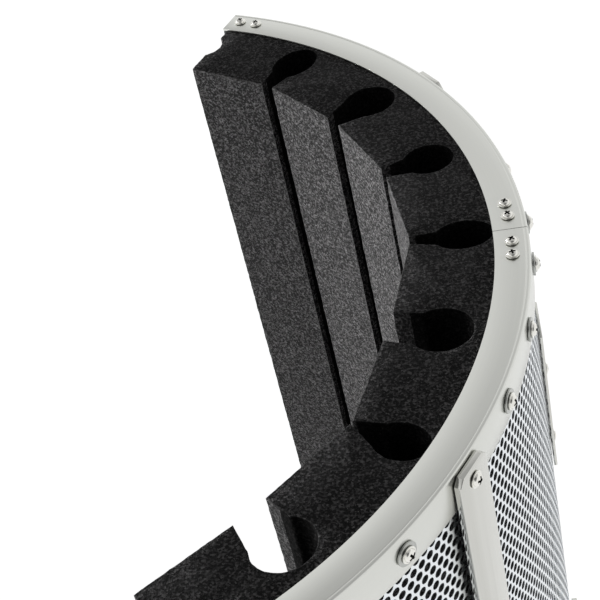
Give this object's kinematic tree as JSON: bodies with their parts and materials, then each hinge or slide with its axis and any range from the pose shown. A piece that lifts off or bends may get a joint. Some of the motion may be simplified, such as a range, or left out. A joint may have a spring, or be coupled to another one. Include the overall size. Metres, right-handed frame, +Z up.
{
  "type": "microphone reflection filter",
  "caption": "Curved acoustic shield with a slotted foam lining, perforated metal back and steel rims, on a slotted rail with a sliding microphone post and a stand socket.",
  "frame": {"origin": "middle of the bounding box, on the underside of the mount rail", "axes": "+Z up, the shield's open side faces -Y, and X = 0 is the seam in the middle of the back"},
  "size_m": [0.4384, 0.2416, 0.3242],
  "materials": {
    "satin_steel": "satin",
    "polished_steel": "polished",
    "perforated_sheet": "satin",
    "zinc_steel": "polished",
    "frame_steel": "satin",
    "black_plastic": "matte",
    "foam": "matte"
  },
  "bodies": {
    "shield": {"bottom_inner_strip": "frame_steel", "bottom_rim_left": "satin_steel", "bottom_rim_right": "satin_steel", "bottom_splice_plate": "frame_steel", "bracket_screw_lower_left": "zinc_steel", "bracket_screw_lower_right": "zinc_steel", "bracket_screw_upper_left": "zinc_steel", "bracket_screw_upper_right": "zinc_steel", "bracket_shim": "frame_steel", "end_upright_left": "frame_steel", "end_upright_right": "frame_steel", "foam_slab": "foam", "foot_screw_1": "zinc_steel", "foot_screw_2": "zinc_steel", "mount_rail": "satin_steel", "perforated_shell_left": "perforated_sheet", "perforated_shell_right": "perforated_sheet", "rear_bracket": "satin_steel", "seam_backing_strip": "frame_steel", "seam_plate": "polished_steel", "seam_plate_screw_1": "zinc_steel", "seam_plate_screw_2": "zinc_steel", "socket_nut": "zinc_steel", "stand_socket": "zinc_steel", "strap_left": "polished_steel", "strap_right": "polished_steel", "top_band_screw_left_1": "zinc_steel", "top_band_screw_left_2": "zinc_steel", "top_band_screw_left_3": "zinc_steel", "top_band_screw_left_5": "zinc_steel", "top_band_screw_left_6": "zinc_steel", "top_band_screw_left_7": "zinc_steel", "top_band_screw_right_1": "zinc_steel", "top_band_screw_right_2": "zinc_steel", "top_band_screw_right_3": "zinc_steel", "top_band_screw_right_5": "zinc_steel", "top_band_screw_right_6": "zinc_steel", "top_band_screw_right_7": "zinc_steel", "top_inner_strip": "frame_steel", "top_rim_left": "satin_steel", "top_rim_right": "satin_steel", "top_rim_screw_left_1": "zinc_steel", "top_rim_screw_left_2": "zinc_steel", "top_rim_screw_left_3": "zinc_steel", "top_rim_screw_left_4": "zinc_steel", "top_rim_screw_right_1": "zinc_steel", "top_rim_screw_right_2": "zinc_steel", "top_rim_screw_right_3": "zinc_steel", "top_rim_screw_right_4": "zinc_steel", "top_splice_plate": "frame_steel", "top_strap_screw_left": "zinc_steel", "top_strap_screw_right": "zinc_steel"},
    "post": {"mic_post": "polished_steel", "slide_nut": "zinc_steel", "clamp_washer": "zinc_steel"},
    "clamp": {"clamp_nut": "black_plastic"},
    "ring": {"lock_ring": "zinc_steel"}
  },
  "joints": [
    {"name": "post_slide", "type": "slide", "parent": "shield", "child": "post", "axis": [0, 1, 0], "range_m": [-0.0605, 0.0305]},
    {"name": "clamp_turn", "type": "hinge", "parent": "post", "child": "clamp", "pos_m": [0, -0.0358, 0.016], "axis": [0, 0, 1], "continuous": true},
    {"name": "ring_turn", "type": "hinge", "parent": "post", "child": "ring", "pos_m": [0, -0.0358, 0.098], "axis": [0, 0, 1], "continuous": true}
  ]
}
